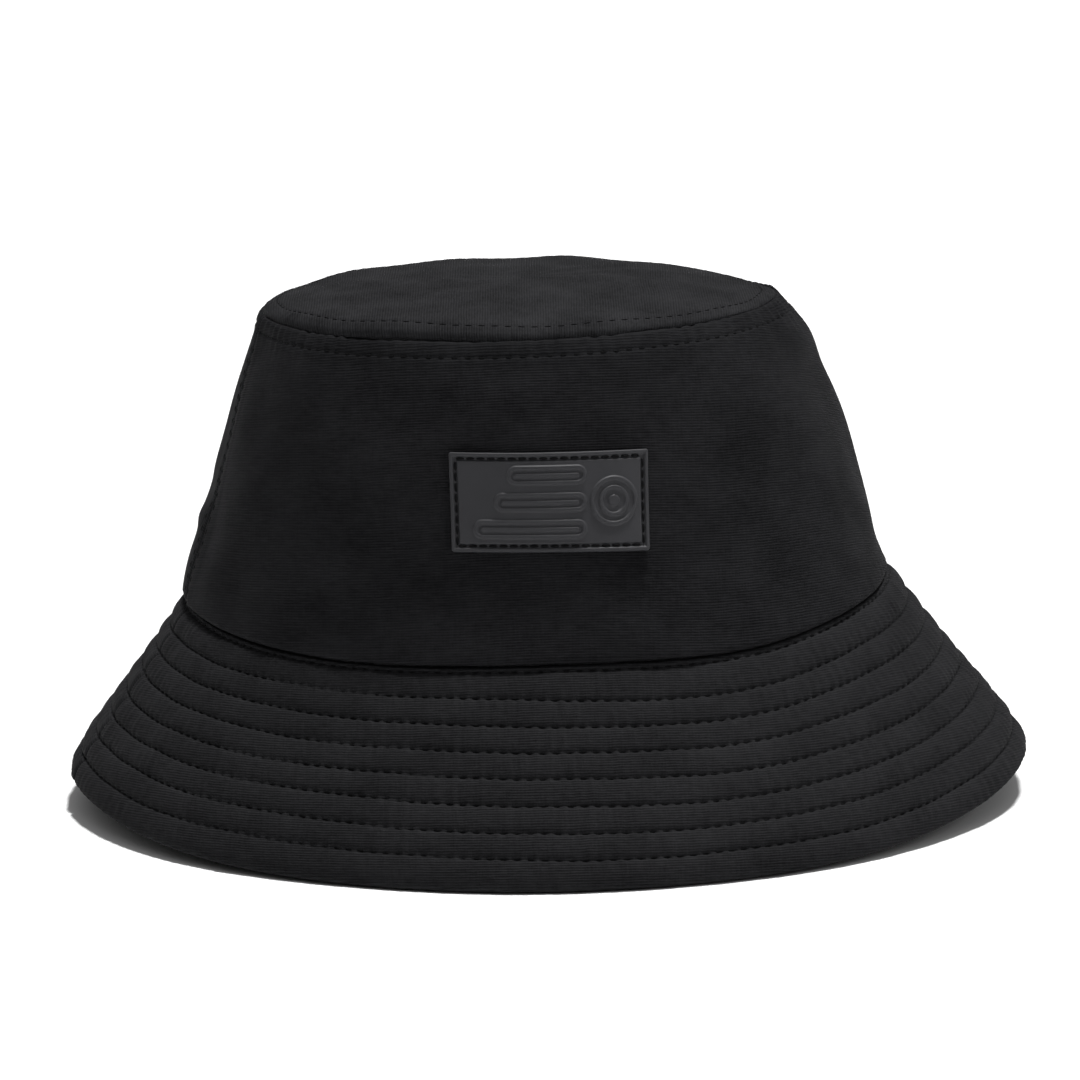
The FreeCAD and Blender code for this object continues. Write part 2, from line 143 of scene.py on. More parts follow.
# Single dents and swellings of the soft wall: azimuth, way up, width, height and rise
WALL_DENTS = (
    (-1.54, 24, 9, 3.2, 0.9),
    (-1.54, 31, 14, 4.5, -0.8),
    (-1.54, 10, 30, 9, 1.1),
    (-1.54, 70, 40, 12, -0.9),
    (-1.54, 50, 40, 14, -0.6),
    (1.54, 50, 40, 24, 1.1),
    (1.54, 72, 40, 8, 2.0),
    (1.54, 6, 30, 9, -1.2),
)


def swell(az, centre, width):
    """A smooth rise to 1 round one azimuth."""
    return np.exp(-(((az + math.pi) % FULL_TURN - math.pi - centre) / width) ** 2)


def tip_reach(az):
    """Radius of the tip seam: pulled in a little on the right."""
    return TIP_RADIUS - 1.1 * swell(az, 1.65, 0.55)


def tip_drop(az):
    """How far the tip seam sinks at the right of the back."""
    return 2.2 * np.exp(-(((az % FULL_TURN) - 2.28) / 0.5) ** 2)


def wall(az, s):
    """The crown wall; s runs from 0 at the crown seam to WALL_WIDTH at the tip seam."""
    t = s / WALL_WIDTH
    low = crown_seam(az)
    high = ring(tip_reach(az), TIP_HEIGHT, 0, 0, TIP_SHIFT, az)
    high[..., 2] -= tip_drop(az)
    inside = np.clip(t, 0, 1)
    bow = WALL_BOW * inside ** 1.3 * (1 - inside ** 6)
    slack = np.sin(math.pi * inside) ** 0.7
    dents = 0.75 * slack * soft_bumps(az, s, 11, 9, (2, 11), 70)
    for centre, level, wide, tall, rise in WALL_DENTS:
        dents = dents + rise * bump_at(az, s, centre, level, wide, tall)
    dents = dents * (1 - np.exp(-((WALL_WIDTH - s) / 3.5) ** 2))
    t = t[..., None] if np.ndim(t) else t
    return low * (1 - t) + high * t + outward(az) * (bow + dents)[..., None]


def brim(az, s):
    """The middle of the brim; s runs from 0 at the crown seam to BRIM_WIDTH at the edge."""
    t = s / BRIM_WIDTH
    low = crown_seam(az)
    high = ring(EDGE_RADIUS, EDGE_HEIGHT, EDGE_SWAY, EDGE_RIPPLE, 0, az)
    inside = np.clip(t, 0, 1)
    bow = BRIM_BOW * inside ** 2 * (1 - inside ** 8) - BRIM_TUCK * (1 - inside)
    wave = inside ** 1.5 * (0.5 * np.sin(5 * az + 1.0) + 0.3 * np.sin(9 * az + 2.2))
    lift = 2.0 * inside ** 2 * swell(az, 1.5, 0.3)
    t = t[..., None] if np.ndim(t) else t
    surface = low * (1 - t) + high * t + outward(az) * (bow + wave)[..., None]
    surface[..., 2] += lift
    return surface


def tip(az, s):
    """The crown tip; s runs from 0 at its middle to TIP_RADIUS at the tip seam."""
    share = s / TIP_RADIUS
    x = tip_reach(az) * share * np.sin(az)
    y = -tip_reach(az) * share * np.cos(az)
    shoulder = np.sqrt(1 - np.clip((s - (TIP_RADIUS - 7)) / 7, 0, 0.995) ** 2)
    z = TIP_HEIGHT + math.tan(ROLL) * x + TIP_DOME * (1 - share ** 2) - 0.4
    lean = x / TIP_RADIUS
    rise = 3.0 + 0.9 * share * np.cos(az) - 1.4 * lean - 1.6 * lean ** 2
    rise = rise + 0.55 * (1 - np.exp(-(np.clip(lean, 0, 1) / 0.2) ** 2)) * (1 - np.cos(az)) * share
    z = z + shoulder * np.clip(rise, 1.2, None) - tip_drop(az) * share ** 4
    z = z + 0.35 * np.sin(x / 17 + 0.6) * np.cos(y / 23 - 0.4) + 0.22 * np.sin(x / 9 - y / 13)
    z = z + 0.14 * np.sin(x / 6.5 + y / 9 + 1) * np.cos(y / 7 - x / 12)
    return np.stack(np.broadcast_arrays(x + TIP_SHIFT, y, z), axis=-1)


def normals(surface, az, s):
    """Unit normals of a surface, on the outside of the hat."""
    across = surface(az + 0.004, s) - surface(az - 0.004, s)
    along = surface(az, s + 0.2) - surface(az, s - 0.2)
    normal = np.cross(across, along)
    sign = np.sign(normal[..., 2:3] + (normal * outward(az)).sum(-1, keepdims=True))
    return normal * sign / np.maximum(np.linalg.norm(normal, axis=-1, keepdims=True), 1e-9)


def lifted(surface, az, s, height):
    az, s, height = np.broadcast_arrays(az, s, height)
    return surface(az, s) + normals(surface, az, s) * height[..., None]


# ---------------------------------------------------------------- relief of seams and stitching

def stitch_count(radius):
    return int(round(FULL_TURN * radius / STITCH_PITCH))


def row_line(row, az):
    """Where a quilting row runs: sewn by hand and eye, so it wanders a little."""
    turn = (az + math.pi) % FULL_TURN - math.pi
    if row < 0:
        return EDGE_STITCH_LINE + 0.1 * np.sin(3 * az) + 0.05 * np.sin(11 * az)
    left = -(1.1 + 0.2 * row) * np.exp(-((turn + 0.55) / 0.5) ** 2)
    right = (1.3 - 0.23 * row) * np.exp(-((turn - 0.4) / 0.3) ** 2)
    sewn = 0.14 * np.sin(3 * az + 1.7 * row) + 0.12 * np.sin(11 * az + row)
    sewn = sewn + 0.06 * np.sin(29 * az + row)
    return ROW_LINES[row] + left + right + sewn


def brim_radius(s):
    return SEAM_RADIUS + (EDGE_RADIUS - SEAM_RADIUS) * s / BRIM_WIDTH


def brim_lines():
    """Each stitched line of the brim with its number of stitches and where its first one is."""
    for row in range(-1, len(ROW_LINES)):
        line = EDGE_STITCH_LINE if row < 0 else ROW_LINES[row]
        yield row, stitch_count(brim_radius(line)), 0.37 * row


def brim_relief(az, s, puff, groove, crinkle):
    """Height of the quilting over a plain layer: channels puff up, and rows pull down."""
    shape = np.broadcast(az, s).shape
    relief = np.zeros(shape)
    edges = [np.zeros(shape) - 0.3]
    for row, count, phase in brim_lines():
        line = row_line(row, az) + 0 * s
        edges.append(line)
        gap = np.abs(s - line)
        uneven = 0.75 + 0.35 * np.sin(7 * az + row * 2.1) * np.sin(4 * az - row)
        beat = np.cos(count * az + phase)
        relief -= groove * (0.55 + 0.45 * beat) * np.exp(-(gap / 0.5) ** 2)
        relief -= crinkle * uneven * np.exp(-gap / 1.7) * beat
    edges.append(np.zeros(shape) + BRIM_WIDTH + 1.6)
    for low, high in zip(edges, edges[1:]):
        width = high - low
        u = np.clip((s - low) / width, 0, 1)
        full = puff * (1 + 0.45 * np.sin(az) ** 4) * np.clip(width / 7.4, 0.2, 1.0)
        relief += full * (4 * u * (1 - u)) ** 0.62
    relief -= 0.16 * np.exp(-((s - BRIM_WIDTH + 2.0) / 0.35) ** 2)
    relief += 0.12 * puff * soft_bumps(az, s, 5, 10, (20, 60), 30)
    relief += 0.10 * puff * soft_bumps(az, s, 6, 12, (80, 260), 12)
    return relief


def side_seam_gap(az, radius):
    """Distance in mm from the nearer side seam, positive towards the back."""
    middle = (LEFT_SEAM + RIGHT_SEAM) / 2
    turn = (az - middle + math.pi) % FULL_TURN - math.pi
    return (np.abs(turn) - (RIGHT_SEAM - LEFT_SEAM) / 2) * radius


def side_seam_relief(az, radius, depth, plateau):
    gap = np.abs(side_seam_gap(az, radius))
    return plateau / (1 + np.exp((gap - 6.5) / 0.5)) - (depth + plateau) * np.exp(-(gap / 0.75) ** 2)


def brim_top_height(az, s):
    tuck = 0.9 * np.exp(-(np.clip(s, 0, None) / 0.7) ** 2)
    relief = brim_relief(az, s, PUFF, GROOVE, 0.11)
    return PLY_FACE - tuck + relief + side_seam_relief(az, brim_radius(s), 0.75, 0.2)


def brim_under_height(az, s):
    relief = brim_relief(az, s, 0.4 * PUFF, 0.8 * GROOVE, 0.08)
    return -(PLY_FACE + relief + side_seam_relief(az, brim_radius(s), 0.6, 0.15))


def wall_radius(s):
    return SEAM_RADIUS + (TIP_RADIUS - SEAM_RADIUS) * s / WALL_WIDTH


def wall_height(az, s):
    """Relief of the wall: rolled under at the crown seam, drawn in at the tip seam and stitching."""
    from_tip = WALL_WIDTH - s
    line = from_tip - TOPSTITCH_INSET
    count = stitch_count(TIP_RADIUS)
    low_roll = np.clip(1 - (s - WALL_START) / 1.4, 0, 1)
    relief = 0.25 * np.exp(-((s - 3.5) / 4.5) ** 2) - 1.2 * (1 - np.sqrt(1 - 0.98 * low_roll ** 2))
    high_roll = np.clip(1 - from_tip / 1.1, 0, 1)
    relief = relief + 0.3 / (1 + np.exp((from_tip - 5.5) / 0.4)) - 0.5 * high_roll ** 2
    relief = relief - 0.28 * np.exp(-(line / 0.6) ** 2)
    relief = relief - 0.08 * np.exp(-np.abs(line) / 1.6) * np.cos(count * az)
    pucker = soft_bumps(az, s, 21, 12, (60, 120), 40)
    relief = relief + 0.17 * pucker * np.exp(-(from_tip / 6) ** 2) + 0.06 * pucker * np.exp(-s / 5)
    gap = side_seam_gap(az, wall_radius(s))
    for inset in (-SIDE_STITCH_INSET, SIDE_STITCH_INSET):
        relief = relief - 0.14 * np.exp(-((gap - inset) / 0.5) ** 2)
    relief = relief + 0.24 * soft_bumps(az, s, 23, 14, (8, 26), 34)
    return relief + side_seam_relief(az, wall_radius(s), 0.45, 0.2)


def tip_height(az, s):
    """Relief of the tip: drawn in at its seam and at the topstitching beside it."""
    from_seam = TIP_RADIUS - s
    line = from_seam - TOPSTITCH_INSET
    count = stitch_count(TIP_RADIUS - TOPSTITCH_INSET)
    roll = np.clip(1 - from_seam / 1.1, 0, 1)
    relief = 0.25 / (1 + np.exp((from_seam - 5.5) / 0.4)) - 0.5 * roll ** 2
    relief = relief - 0.26 * np.exp(-(line / 0.6) ** 2)
    relief = relief - 0.04 * np.exp(-np.abs(line) / 1.5) * np.cos(count * az)
    pucker = soft_bumps(az, s, 31, 12, (50, 110), 40)
    slack = soft_bumps(az, s, 33, 12, (3, 14), 26) * (1 - np.exp(-(s / 14) ** 2))
    return relief + 0.05 * pucker * np.exp(-from_seam / 8) + 0.22 * slack


# ---------------------------------------------------------------- mesh builders

def make_object(name, points, faces, uv=None):
    mesh = bpy.data.meshes.new(name)
    mesh.from_pydata((np.asarray(points) * MM).tolist(), [], faces)
    if uv is not None:
        layer = mesh.uv_layers.new(name="pattern")
        corner = np.empty(len(mesh.loops), dtype=np.int32)
        mesh.loops.foreach_get("vertex_index", corner)
        layer.data.foreach_set("uv", (np.asarray(uv)[corner] * MM).astype(np.float32).ravel())
    mesh.validate()
    mesh.update()
    mesh.polygons.foreach_set("use_smooth", [True] * len(mesh.polygons))
    piece = bpy.data.objects.new(name, mesh)
    bpy.context.scene.collection.objects.link(piece)
    return piece


def grid_faces(columns, loop, closed, cap):
    """Quads between neighbouring columns of a closed cross-section, and caps on an open run."""
    start = np.arange(columns if closed else columns - 1)[:, None] * loop
    follow = (start + loop) % (columns * loop)
    here = np.arange(loop)[None, :]
    onward = (here + 1) % loop
    quads = np.stack([start + here, follow + here, follow + onward, start + onward], axis=-1)
    faces = quads.reshape(-1, 4).tolist()
    if cap and not closed:
        half = loop // 2
        last = (columns - 1) * loop
        for j in range(half - 1):
            faces.append([j, j + 1, loop - 2 - j, loop - 1 - j])
            faces.append([last + j + 1, last + j, last + loop - 1 - j, last + loop - 2 - j])
    return faces


def lay_cloth(name, surface, az, face, back, height, pattern, closed=False):
    """A closed thin shell of cloth on a surface.

    face and back are lists of (s, offset, share): a point's way along the cloth, its own offset
    and how much of height(az, s) it takes on. Both lists run the same way and are equally long.
    """
    profile = np.array(list(face) + list(back)[::-1], float)
    s = profile[:, 0][None, :]
    turn = np.asarray(az)[:, None]
    rise = profile[:, 1][None, :] + profile[:, 2][None, :] * height(turn + 0 * s, s + 0 * turn)
    points = lifted(surface, turn + 0 * s, s + 0 * turn, rise)
    uv = pattern(turn + 0 * s, s + 0 * turn)
    faces = grid_faces(len(az), len(profile), closed, True)
    piece = make_object(name, points.reshape(-1, 3), faces, uv.reshape(-1, 2))
    return piece


def levels(low, high, step, lines=(), near=1.6, fine=0.3):
    """Ways along the cloth from low to high, closer together beside the stitched lines."""
    values = [low]
    while values[-1] < high - 1e-6:
        here = values[-1]
        close = any(abs(here - line) < near for line in lines)
        values.append(min(high, here + (fine if close else step)))
    if len(values) > 2 and values[-1] - values[-2] < 0.3 * fine:
        values.pop(-2)
    return values


def turns(start, end, spacing, radius):
    count = max(3, int(math.ceil((end - start) * radius / spacing)) + 1)
    return np.linspace(start, end, count)


def sew(name, surface, paths, height, side=1, pitch=STITCH_PITCH, radius=0.17, fill=0.6):
    """Rows of separate stitches; each path gives azimuth and s for a distance along it.

    paths is a list of (length, function); the thread rises from the cloth and dives back in.
    """
    sides = 6
    knots = 7
    points = []
    faces = []
    for length, path in paths:
        count = max(1, int(round(length / pitch)))
        share = np.linspace(0, fill, knots)
        way = (np.arange(count)[:, None] - fill / 2 + share[None, :]) / count * length
        along = share / fill
        lift = 0.26 * np.sqrt(np.abs(np.sin(math.pi * along))) - 0.30 * (2 * along - 1) ** 6
        slim = radius * (1 - 0.5 * np.abs(2 * along - 1) ** 3)
        az, s = path(way)
        middle = lifted(surface, az, s, height(az, s) + side * lift[None, :])
        normal = normals(surface, az, s) * side
        tangent = np.gradient(middle, axis=1)
        tangent /= np.linalg.norm(tangent, axis=-1, keepdims=True)
        cross = np.cross(tangent, normal)
        cross /= np.linalg.norm(cross, axis=-1, keepdims=True)
        base = sum(len(block) for block in points)
        angle = np.arange(sides) / sides * FULL_TURN
        thick = slim[None, :, None, None]
        ringed = (middle[:, :, None, :]
                  + cross[:, :, None, :] * (np.cos(angle) * 1.15)[None, None, :, None] * thick
                  + normal[:, :, None, :] * np.sin(angle)[None, None, :, None] * thick)
        points.append(ringed.reshape(-1, 3))
        for k in range(count):
            first = base + k * knots * sides
            for j in range(knots - 1):
                for i in range(sides):
                    a = first + j * sides + i
                    b = first + j * sides + (i + 1) % sides
                    faces.append([a, b, b + sides, a + sides])
            faces.append([first + i for i in reversed(range(sides))])
            faces.append([first + (knots - 1) * sides + i for i in range(sides)])
    return make_object(name, np.concatenate(points), faces)


def join(name, pieces):
    """One object from several, keeping each mesh's UV map."""
    bpy.ops.object.select_all(action="DESELECT")
    for piece in pieces:
        piece.select_set(True)
    bpy.context.view_layer.objects.active = pieces[0]
    bpy.ops.object.join()
    pieces[0].name = name
    return pieces[0]


def ring_path(line, radius, start=0.0, end=FULL_TURN):
    """A stitched line round the hat: its length, and azimuth and s for a distance along it."""
    length = (end - start) * radius
    return length, lambda way: (start + way / radius, line(start + way / radius) + 0 * way)


# ---------------------------------------------------------------- flat patterns (grain of the cloth)

def cone_pattern(centre, radius, share, direction, droop):
    """Pattern coordinates of a cone cut with straight grain at its middle azimuth.

    share is the cone's unrolled angle per azimuth; direction is +1 where s runs away from the apex.
    """
    apex = radius / share

    def at(az, s):
        angle = (az - centre) * share
        reach = apex + direction * s
        v = direction * (reach * (1 - (1 - np.cos(angle)) * droop) - apex)
        return np.stack(np.broadcast_arrays(reach * np.sin(angle), v), axis=-1)

    return at


WALL_SHARE = (SEAM_RADIUS - TIP_RADIUS) / WALL_WIDTH
BRIM_SHARE = (EDGE_RADIUS - SEAM_RADIUS) / BRIM_WIDTH


def tip_pattern(az, s):
    """The tip's ribs run from front to back."""
    return np.stack(np.broadcast_arrays(-s * np.cos(az), s * np.sin(az)), axis=-1)


def strip_pattern(radius):
    return lambda az, s: np.stack(np.broadcast_arrays(az * radius, s), axis=-1)


# ---------------------------------------------------------------- materials

def graph(name):
    material = bpy.data.materials.new(name)
    material.use_nodes = True
    tree = material.node_tree
    shader = tree.nodes["Principled BSDF"]
    return material, tree, shader


def node(tree, kind, inputs=None, **settings):
    made = tree.nodes.new(kind)
    for key, value in settings.items():
        setattr(made, key, value)
    for key, value in (inputs or {}).items():
        if isinstance(value, bpy.types.NodeSocket):
            tree.links.new(value, made.inputs[key])
        else:
            made.inputs[key].default_value = value
    return made


def math_node(tree, operation, *values):
    return node(tree, "ShaderNodeMath", dict(enumerate(values)), operation=operation).outputs[0]


def noise_at(tree, vector, scale, detail=2.0, rough=0.5):
    return node(tree, "ShaderNodeTexNoise", {"Vector": vector, "Scale": scale, "Detail": detail,
                                             "Roughness": rough}).outputs["Fac"]


def pattern_mm(tree):
    """Pattern coordinates of the cloth in millimetres."""
    uv = node(tree, "ShaderNodeUVMap", uv_map="pattern").outputs["UV"]
    return node(tree, "ShaderNodeVectorMath", {0: uv, 3: 1000.0}, operation="SCALE").outputs[0]


def object_mm(tree):
    place = node(tree, "ShaderNodeTexCoord").outputs["Object"]
    return node(tree, "ShaderNodeVectorMath", {0: place, 3: 1000.0}, operation="SCALE").outputs[0]


def stretch(tree, vector, x, y, z=1.0):
    return node(tree, "ShaderNodeVectorMath", {0: vector, 1: (x, y, z)}, operation="MULTIPLY").outputs[0]


def ribbed_cloth(name, dark, light, pitch=0.68, mottled=0.75):
    """Ribbed plain weave: fine ribs along the grain, uneven cross yarns and a faint mottle."""
    material, tree, shader = graph(name)
    flat = pattern_mm(tree)
    parts = node(tree, "ShaderNodeSeparateXYZ", {0: flat})
    wander = noise_at(tree, stretch(tree, flat, 0.05, 0.12), 1.0, 3.0)
    level = math_node(tree, "ADD", parts.outputs[1], math_node(tree, "MULTIPLY", wander, 0.6))
    rib = math_node(tree, "SINE", math_node(tree, "MULTIPLY", level, FULL_TURN / pitch))
    rib = math_node(tree, "MULTIPLY_ADD", rib, 0.5, 0.5)
    yarn = noise_at(tree, stretch(tree, flat, 0.30, 1.0 / pitch), 1.0, 2.0, 0.6)
    cross = noise_at(tree, stretch(tree, flat, 1.5, 0.16), 1.0, 2.0, 0.6)
    grit = noise_at(tree, stretch(tree, flat, 1.9, 2.3), 1.0, 2.0, 0.65)
    mottle = noise_at(tree, stretch(tree, flat, 0.04, 0.065), 1.0, 4.0, 0.62)
    tone = math_node(tree, "MULTIPLY_ADD", rib, 0.36, -0.545 - mottled / 2)
    for part, weight in ((yarn, 0.70), (cross, 0.45), (grit, 0.65), (mottle, mottled)):
        tone = math_node(tree, "MULTIPLY_ADD", part, weight, tone)
    colour = node(tree, "ShaderNodeMix", {0: tone, 6: (*dark, 1), 7: (*light, 1)}, data_type="RGBA")
    tree.links.new(colour.outputs[2], shader.inputs["Base Color"])
    relief = math_node(tree, "MULTIPLY", rib, math_node(tree, "MULTIPLY_ADD", yarn, 1.1, 0.2))
    for part, weight in ((cross, 0.45), (grit, 0.40)):
        relief = math_node(tree, "MULTIPLY_ADD", part, weight, relief)
    bump = node(tree, "ShaderNodeBump", {"Strength": 0.8, "Distance": 0.11 * MM, "Height": relief})
    tree.links.new(bump.outputs[0], shader.inputs["Normal"])
    shader.inputs["Roughness"].default_value = 0.78
    shader.inputs["Specular IOR Level"].default_value = 0.05
    return material


def twill_cloth(name, dark, light, pitch=0.9, sheen=0.08):
    """Diagonal twill for tapes and the sweatband."""
    material, tree, shader = graph(name)
    flat = pattern_mm(tree)
    parts = node(tree, "ShaderNodeSeparateXYZ", {0: flat})
    wander = noise_at(tree, flat, 0.15, 2.0)
    diagonal = math_node(tree, "ADD", parts.outputs[0], math_node(tree, "ADD", parts.outputs[1], wander))
    line = math_node(tree, "SINE", math_node(tree, "MULTIPLY", diagonal, FULL_TURN / pitch))
    grit = noise_at(tree, flat, 2.4, 2.0, 0.6)
    tone = math_node(tree, "MULTIPLY_ADD", line, 0.25, 0.3)
    tone = math_node(tree, "ADD", tone, math_node(tree, "MULTIPLY", grit, 0.4))
    colour = node(tree, "ShaderNodeMix", {0: tone, 6: (*dark, 1), 7: (*light, 1)}, data_type="RGBA")
    tree.links.new(colour.outputs[2], shader.inputs["Base Color"])
    bump = node(tree, "ShaderNodeBump", {"Strength": 0.7, "Distance": 0.1 * MM, "Height": tone})
    tree.links.new(bump.outputs[0], shader.inputs["Normal"])
    shader.inputs["Roughness"].default_value = 0.85
    shader.inputs["Sheen Weight"].default_value = sheen
    shader.inputs["Specular IOR Level"].default_value = 0.25
    return material


def sewing_thread(name, colour):
    """Twisted thread: fine slanted plies along the stitch."""
    material, tree, shader = graph(name)
    place = object_mm(tree)
    ply = noise_at(tree, stretch(tree, place, 5.0, 5.0, 9.0), 1.0, 1.0)
    fuzz = noise_at(tree, place, 0.4, 2.0)
    plied = math_node(tree, "MULTIPLY", ply, 0.7)
    tone = math_node(tree, "ADD", plied, math_node(tree, "MULTIPLY", fuzz, 0.3))
    dark = [part * 0.5 for part in colour]
    light = [part * 1.6 for part in colour]
    mix = node(tree, "ShaderNodeMix", {0: tone, 6: (*dark, 1), 7: (*light, 1)}, data_type="RGBA")
    tree.links.new(mix.outputs[2], shader.inputs["Base Color"])
    bump = node(tree, "ShaderNodeBump", {"Strength": 0.6, "Distance": 0.05 * MM, "Height": ply})
    tree.links.new(bump.outputs[0], shader.inputs["Normal"])
    shader.inputs["Roughness"].default_value = 0.75
    shader.inputs["Specular IOR Level"].default_value = 0.08
    return material


def felted(name, dark, light):
    """Non-woven fibres pressed flat, for the interlining."""
    material, tree, shader = graph(name)
    place = object_mm(tree)
    web = noise_at(tree, place, 1.1, 5.0, 0.75)
    colour = node(tree, "ShaderNodeMix", {0: web, 6: (*dark, 1), 7: (*light, 1)}, data_type="RGBA")
    tree.links.new(colour.outputs[2], shader.inputs["Base Color"])
    bump = node(tree, "ShaderNodeBump", {"Strength": 0.6, "Distance": 0.1 * MM, "Height": web})
    tree.links.new(bump.outputs[0], shader.inputs["Normal"])
    shader.inputs["Roughness"].default_value = 0.9
    return material


def moulded_rubber(name, dark, light):
    """Soft moulded rubber: fine satin grain from the mould and faint handling wear."""
    material, tree, shader = graph(name)
    place = object_mm(tree)
    grain = noise_at(tree, place, 4.5, 3.0, 0.65)
    cloud = noise_at(tree, place, 0.12, 3.0, 0.5)
    grained = math_node(tree, "MULTIPLY", grain, 0.4)
    tone = math_node(tree, "ADD", grained, math_node(tree, "MULTIPLY", cloud, 0.6))
    colour = node(tree, "ShaderNodeMix", {0: tone, 6: (*dark, 1), 7: (*light, 1)}, data_type="RGBA")
    tree.links.new(colour.outputs[2], shader.inputs["Base Color"])
    rough = math_node(tree, "MULTIPLY_ADD", cloud, 0.16, 0.5)
    tree.links.new(rough, shader.inputs["Roughness"])
    bump = node(tree, "ShaderNodeBump", {"Strength": 0.35, "Distance": 0.03 * MM, "Height": grain})
    tree.links.new(bump.outputs[0], shader.inputs["Normal"])
    shader.inputs["Specular IOR Level"].default_value = 0.3
    return material


MATERIALS = {
    "crown_fabric": ribbed_cloth("crown_fabric", (0.0020, 0.0020, 0.0024), (0.0190, 0.0190, 0.0207),
                                 mottled=1.15),
    # Brim cloth: a copy of the crown cloth painted lighter, as painted light for the upward-sloping
    # brim.
    "brim_fabric": ribbed_cloth("brim_fabric", (0.0028, 0.0028, 0.0032), (0.0230, 0.0230, 0.0246)),
    # Tip cloth: a copy of the crown cloth painted lighter, as painted light for the upward-facing top;
    # its mottle is the cloth's random tone, made stronger here as painted light and shade of shallow
    # dents.
    "tip_fabric_painted_lighter": ribbed_cloth("tip_fabric_painted_lighter", (0.0032, 0.0032, 0.0036), (0.0250, 0.0250, 0.0270),
                               mottled=1.3),
    # Black thread, set darker than the cloth as painted shade: the stitches stand in for thread lying in
    # the shadow of its groove.
    "thread": sewing_thread("thread", (0.0040, 0.0040, 0.0044)),
    "interlining": felted("interlining", (0.008, 0.008, 0.0085), (0.028, 0.028, 0.030)),
    "seam_tape": twill_cloth("seam_tape", (0.007, 0.007, 0.0075), (0.026, 0.026, 0.028), 0.7),
    "sweatband": twill_cloth("sweatband", (0.008, 0.008, 0.0085), (0.030, 0.030, 0.032)),
    "patch_rubber": moulded_rubber("patch_rubber", (0.026, 0.026, 0.029), (0.039, 0.039, 0.043)),
    "label": twill_cloth("label", (0.50, 0.50, 0.48), (0.72, 0.72, 0.70), 0.35, 0.1),
}


def finish_piece(piece, slot, nodes, body=None, between=None, look=None):
    """Material, slot, the CAD nodes it stands for, and the body it follows; a piece given a bend only
    has its transform baked in.
    """
    piece.data.materials.clear()
    piece.data.materials.append(MATERIALS[look or slot])
    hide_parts(*nodes)
    if between:
        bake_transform(piece)
    else:
        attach(piece, body)
    return piece


# Where the cloth turns over at each joint: two bodies and heights in metres. Nothing in this script
# bends the cloth by them; a piece given one only has its transform baked in.
BRIM_BEND = ("hat", "brim", (0, 0, 0.0510), (0, 0, 0.0090))
PRESS_BEND = ("hat", "crown_top", (0, 0, 0.1075), (0, 0, 0.1240))
TAPE_BEND = ("hat", "crown_top", (0, 0, 0.0970), (0, 0, 0.1240))
BAND_BEND = ("hat", "sweatband", (0, 0, 0.0575), (0, 0, 0.0780))

HALVES = (
    ("front", LEFT_SEAM, RIGHT_SEAM, 0.0, 0.72),
    ("back", RIGHT_SEAM, FULL_TURN + LEFT_SEAM, math.pi, 0.95),
)


# ---------------------------------------------------------------- crown

def make_crown_wall():
    lines = [WALL_START, WALL_WIDTH - TOPSTITCH_INSET, WALL_WIDTH]
    face = [(s, 0.0, 1.0) for s in levels(WALL_START, WALL_WIDTH, 0.85, lines)]
    back = [(min(max(s, WALL_START + 0.8), WALL_WIDTH - 0.7), -SHELL_THICK, 1.0) for s, _, _ in face]
    for half, start, end, centre, spacing in HALVES:
        az = turns(start, end, spacing * 0.9, SEAM_RADIUS)
        pattern = cone_pattern(centre, SEAM_RADIUS, WALL_SHARE, -1, 0.55)
        piece = lay_cloth(f"crown_{half}", wall, az, face, back, wall_height, pattern)
        finish_piece(piece, "crown_fabric", [f"crown_{half}_panel"], between=PRESS_BEND)


def make_tip():
    reach = levels(0.03, TIP_RADIUS, 1.1, [TIP_RADIUS - TOPSTITCH_INSET, TIP_RADIUS])
    face = [(s, 0.0, 1.0) for s in reach]
    back = [(min(s, TIP_RADIUS - 0.6), -SHELL_THICK, 1.0) for s in reach]
    az = np.linspace(0, FULL_TURN, 541)[:-1]
    piece = lay_cloth("tip_cloth", tip, az, face, back, tip_height, tip_pattern, closed=True)
    # The tip wears a lighter copy of the crown cloth: painted light for the top.
    finish_piece(piece, "crown_fabric", ["crown_tip"], body="crown_top", look="tip_fabric_painted_lighter")


def make_crown_stitching():
    ring_radius = TIP_RADIUS
    wall_line = WALL_WIDTH - TOPSTITCH_INSET
    outside = sew("wall_stitch_face", wall, [ring_path(lambda az: wall_line, ring_radius)],
                  lambda az, s: wall_height(az, s) - 0.1, radius=0.14)
    inside = sew("wall_stitch_back", wall, [ring_path(lambda az: wall_line, ring_radius)],
                 lambda az, s: wall_height(az, s) - SHELL_THICK - 0.6, side=-1)
    finish_piece(join("wall_stitches", [outside, inside]), "thread", ["wall_topstitching"],
                 between=PRESS_BEND)
    tip_line = TIP_RADIUS - TOPSTITCH_INSET
    outside = sew("tip_stitch_face", tip, [ring_path(lambda az: tip_line, tip_line)],
                  lambda az, s: tip_height(az, s) - 0.12, radius=0.13, fill=0.7)
    inside = sew("tip_stitch_back", tip, [ring_path(lambda az: tip_line, tip_line)],
                 lambda az, s: tip_height(az, s) - SHELL_THICK - 0.6, side=-1)
    finish_piece(join("tip_stitches", [outside, inside]), "thread", ["tip_topstitching"],
                 body="crown_top")
    paths = []
    for seam in (LEFT_SEAM, RIGHT_SEAM):
        for inset in (-SIDE_STITCH_INSET, SIDE_STITCH_INSET):
            def rising(way, seam=seam, inset=inset):
                s = 1.5 + way
                return seam + math.copysign(1, seam) * inset / wall_radius(s), s
            paths.append((wall_line - 3.5, rising))
    outside = sew("side_stitch_face", wall, paths, lambda az, s: wall_height(az, s) - 0.12, radius=0.13)
    inside = sew("side_stitch_back", wall, paths,
                 lambda az, s: wall_height(az, s) - SHELL_THICK - 0.6, side=-1)
    finish_piece(join("side_stitches", [outside, inside]), "thread", ["side_seam_stitching"],
                 between=PRESS_BEND)


